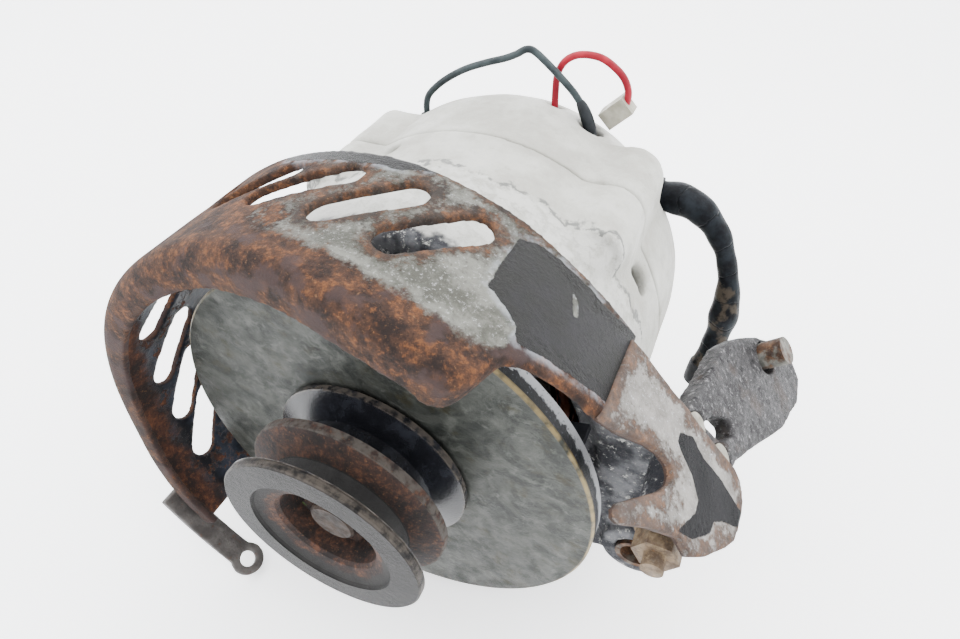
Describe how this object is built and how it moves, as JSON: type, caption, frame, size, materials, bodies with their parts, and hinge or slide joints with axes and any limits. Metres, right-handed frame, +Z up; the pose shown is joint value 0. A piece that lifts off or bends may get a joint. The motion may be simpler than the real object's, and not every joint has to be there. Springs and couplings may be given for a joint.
{
  "type": "car alternator",
  "caption": "Car alternator with a twin V-groove pulley, an external fan, a slotted strap belt guard, an arm plate, an adjusting lug and short leads.",
  "frame": {"origin": "on the shaft axis, in the plane of the pulley's front face", "axes": "+Y along the shaft from the pulley to the rear, +Z up, +X to the right seen from the pulley"},
  "size_m": [0.224, 0.206, 0.1794],
  "materials": {
    "bare_alloy": "weathered casting with dark and white patches",
    "lamination": "varnished steel stack",
    "copper": "varnished copper wire",
    "bearing_steel": "ground",
    "zinc_steel": "dull zinc plate",
    "rusty_steel": "rusted",
    "sink_alloy": "pressed sheet",
    "diode_case": "plated",
    "phenolic": "moulded brown resin",
    "black_plastic": "moulded",
    "grey_insulation": "dark grey wire insulation",
    "black_rubber": "black rubber",
    "red_insulation": "dark red wire insulation",
    "nylon": "aged off-white nylon",
    "tape": "wound black tape",
    "rusty_sheet": "rusted black-painted sheet",
    "grey_strap": "bare dark grey strap",
    "flaking_sheet": "pale bare steel with flaking black paint",
    "dark_iron": "pitted dark iron",
    "shaft_steel": "turned steel",
    "pole_iron": "forged iron",
    "ring_copper": "worn copper",
    "fan_steel": "bare steel with a worn golden edge and flaking black rim",
    "fan_paint": "black paint",
    "pulley_steel": "black paint worn to grey and rust",
    "carbon": "graphite"
  },
  "bodies": {
    "housing": {"drive_end_bracket": "bare_alloy", "slip_ring_end_bracket": "bare_alloy", "stator_core": "lamination", "stator_windings": "copper", "stator_leads": "copper", "front_bearing_outer_ring": "bearing_steel", "bearing_retainer": "zinc_steel", "retainer_screws": "zinc_steel", "rear_bearing_outer_ring": "bearing_steel", "through_bolts": "zinc_steel", "pivot_bush": "rusty_steel", "negative_heatsink": "sink_alloy", "positive_heatsink": "sink_alloy", "rectifier_diodes": "diode_case", "rectifier_spacers": "phenolic", "voltage_regulator": "black_plastic", "brush_holder": "phenolic", "brush_holder_screws": "zinc_steel", "output_stud": "zinc_steel", "output_stud_insulator": "black_plastic", "output_stud_nut": "zinc_steel", "black_lead": "grey_insulation", "black_lead_sleeve": "black_rubber", "red_lead": "red_insulation", "lead_grommets": "black_rubber", "lead_connector": "nylon", "harness_grommet": "black_rubber", "harness": "tape", "harness_boot": "black_rubber", "fan_guard": "rusty_sheet", "guard_tongue": "grey_strap", "arm_plate": "flaking_sheet", "arm_stud": "rusty_steel", "arm_washer": "rusty_steel", "arm_nut": "rusty_steel", "adjusting_lug": "dark_iron", "lug_screws": "rusty_steel", "lug_bolt": "rusty_steel"},
    "rotor": {"rotor_shaft": "shaft_steel", "front_pole_wheel": "pole_iron", "rear_pole_wheel": "pole_iron", "field_coil": "copper", "coil_bobbin": "black_plastic", "slip_rings": "ring_copper", "slip_ring_insulator": "phenolic", "fan_disc": "fan_steel", "fan_blades": "fan_paint", "spacer_collar": "shaft_steel", "pulley": "pulley_steel", "pulley_key": "shaft_steel", "pulley_washer": "rusty_steel", "pulley_nut": "rusty_steel", "front_bearing_inner_ring": "bearing_steel", "rear_bearing_inner_ring": "bearing_steel"},
    "front_bearing_cage": {"front_bearing_balls": "bearing_steel"},
    "rear_bearing_cage": {"rear_bearing_balls": "bearing_steel"},
    "front_brush": {"front_brush": "carbon", "front_brush_spring": "zinc_steel"},
    "rear_brush": {"rear_brush": "carbon", "rear_brush_spring": "zinc_steel"}
  },
  "joints": [
    {"name": "rotor_spin", "type": "hinge", "parent": "housing", "child": "rotor", "pos_m": [0, 0, 0], "axis": [0, 1, 0], "continuous": true},
    {"name": "front_cage_spin", "type": "hinge", "parent": "housing", "child": "front_bearing_cage", "pos_m": [0, 0.069, 0], "axis": [0, 1, 0], "continuous": true},
    {"name": "rear_cage_spin", "type": "hinge", "parent": "housing", "child": "rear_bearing_cage", "pos_m": [0, 0.1775, 0], "axis": [0, 1, 0], "continuous": true},
    {"name": "front_brush_slide", "type": "slide", "parent": "housing", "child": "front_brush", "axis": [0, 0, 1], "range_m": [0, 0.006], "stiffness_N_per_m": 300, "springref_m": -0.01, "deforming": ["front_brush_spring"]},
    {"name": "rear_brush_slide", "type": "slide", "parent": "housing", "child": "rear_brush", "axis": [0, 0, 1], "range_m": [0, 0.006], "stiffness_N_per_m": 300, "springref_m": -0.01, "deforming": ["rear_brush_spring"]}
  ],
  "couplings": [
    {"joint": "front_cage_spin", "follows": "rotor_spin", "ratio": 0.3656},
    {"joint": "rear_cage_spin", "follows": "rotor_spin", "ratio": 0.373}
  ]
}
